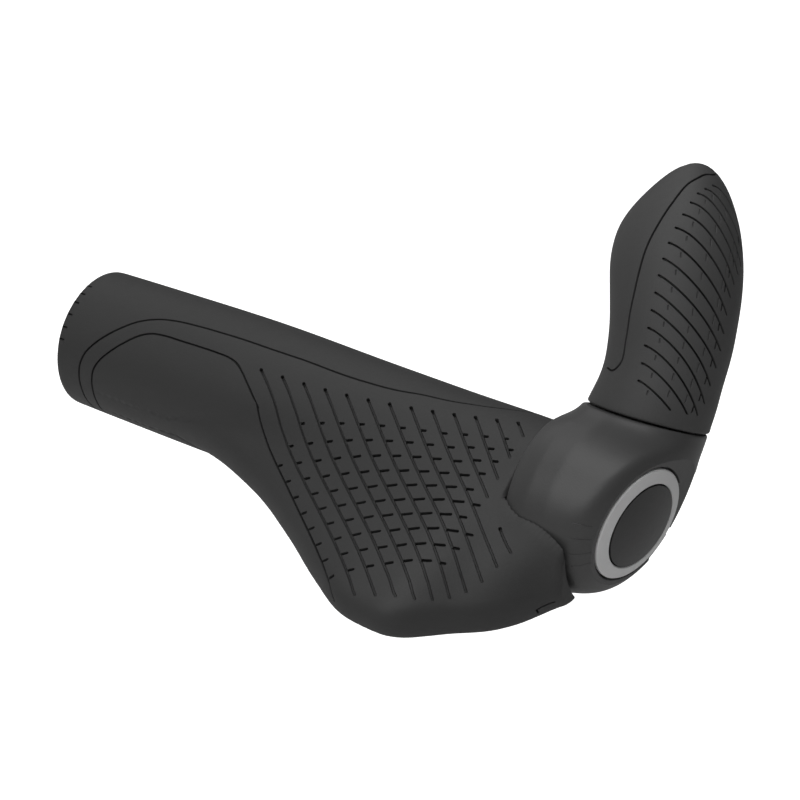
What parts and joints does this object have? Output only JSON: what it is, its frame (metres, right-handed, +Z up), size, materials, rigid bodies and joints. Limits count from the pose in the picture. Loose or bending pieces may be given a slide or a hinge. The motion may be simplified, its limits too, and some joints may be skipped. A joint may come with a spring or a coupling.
{
  "type": "handlebar grip with bar end",
  "caption": "Ergonomic rubber handlebar grip with a rear palm wing, a clamped outboard collar and a short forward bar end under a rubber sleeve.",
  "frame": {"origin": "on the handlebar's axis, in the plane of the grip's inner end", "axes": "+X along the handlebar, outboard; +Y forward, away from the rider's palm; +Z up"},
  "size_m": [0.1509, 0.0972, 0.0823],
  "materials": {
    "grip_rubber": "matte",
    "sleeve_rubber": "matte",
    "shell_plastic": "fine texture",
    "core_plastic": "matte",
    "cap_plastic": "satin",
    "ring_plastic": "satin",
    "steel": "zinc plated"
  },
  "bodies": {
    "grip": {"rubber_grip": "grip_rubber", "grip_core": "core_plastic"},
    "bar_end": {"bar_end_shell": "shell_plastic", "bar_end_sleeve": "sleeve_rubber", "clamp_bolt": "steel", "clamp_washer": "steel", "clamp_nut": "steel", "end_cap": "cap_plastic", "cap_ring": "ring_plastic"}
  },
  "joints": [
    {"name": "bar_end_angle", "type": "hinge", "parent": "grip", "child": "bar_end", "pos_m": [0.135, 0, 0], "axis": [1, 0, 0], "range_deg": [-20, 20]}
  ]
}
